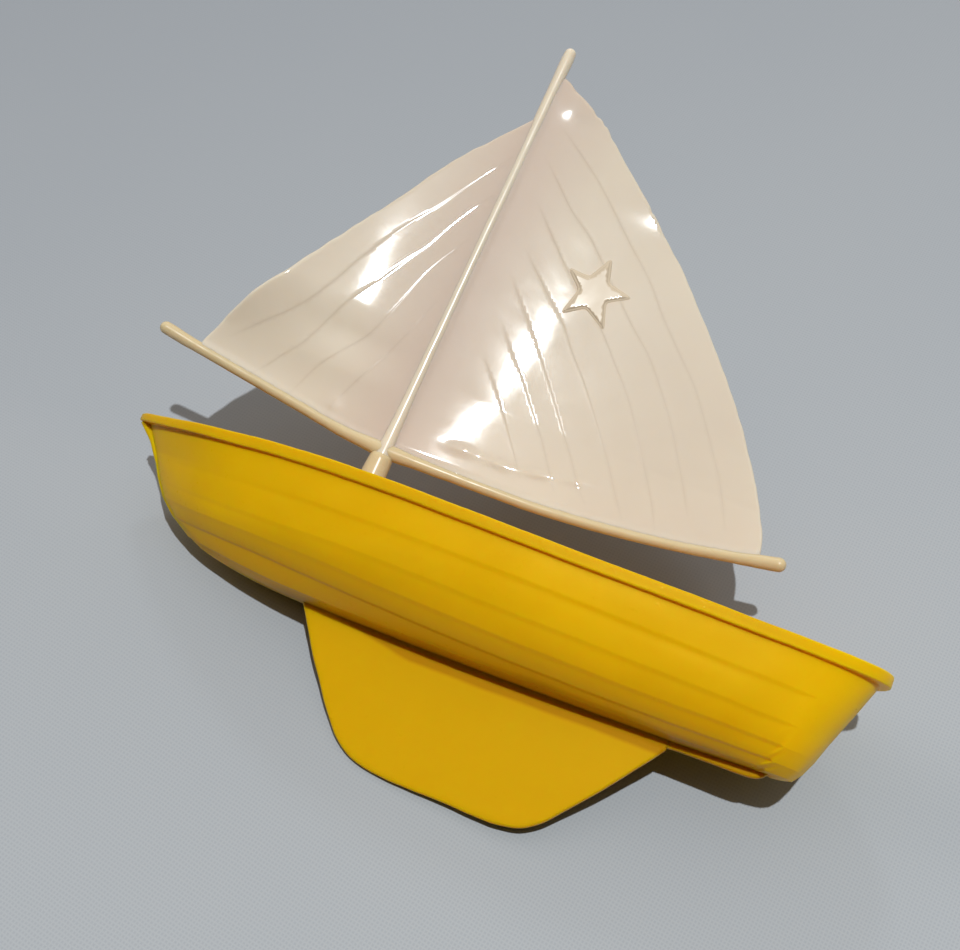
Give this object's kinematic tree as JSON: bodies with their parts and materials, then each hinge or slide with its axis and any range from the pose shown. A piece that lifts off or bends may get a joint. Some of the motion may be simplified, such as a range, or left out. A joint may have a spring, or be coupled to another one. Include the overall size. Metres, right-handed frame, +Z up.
{
  "type": "toy sailboat",
  "caption": "Small moulded toy sailboat: clinker-planked open hull with fin keel, and a plug-in rig of mast, boom, jib spar and moulded sails.",
  "frame": {"origin": "on the centre plane, midway between bow and stern, level with the bottom edge of the fin keel", "axes": "+X towards the bow, +Y to port, +Z up towards the masthead"},
  "size_m": [0.1, 0.0272, 0.0991],
  "materials": {
    "hull_plastic": "waxy semi-gloss moulded polyethylene, yellow",
    "rig_plastic": "glossy cream moulded plastic",
    "sail_plastic": "glossy cream moulded sheet, slightly translucent"
  },
  "bodies": {
    "hull": {"hull_shell": "hull_plastic", "fin_keel": "hull_plastic", "keel_strip": "hull_plastic", "mast_step": "hull_plastic"},
    "foot": {"mast_foot": "rig_plastic"},
    "rig": {"mast": "rig_plastic", "boom": "rig_plastic", "jib_spar": "rig_plastic", "mainsail": "sail_plastic", "jib": "sail_plastic", "star_emblem": "sail_plastic"}
  },
  "joints": [
    {"name": "rig_lift", "type": "slide", "parent": "hull", "child": "foot", "axis": [-0.0454, 0, 0.999], "range_m": [0, 0.012]},
    {"name": "rig_swivel", "type": "hinge", "parent": "foot", "child": "rig", "pos_m": [0.01735, 0, 0.0369], "axis": [-0.0454, 0, 0.999], "continuous": true}
  ]
}
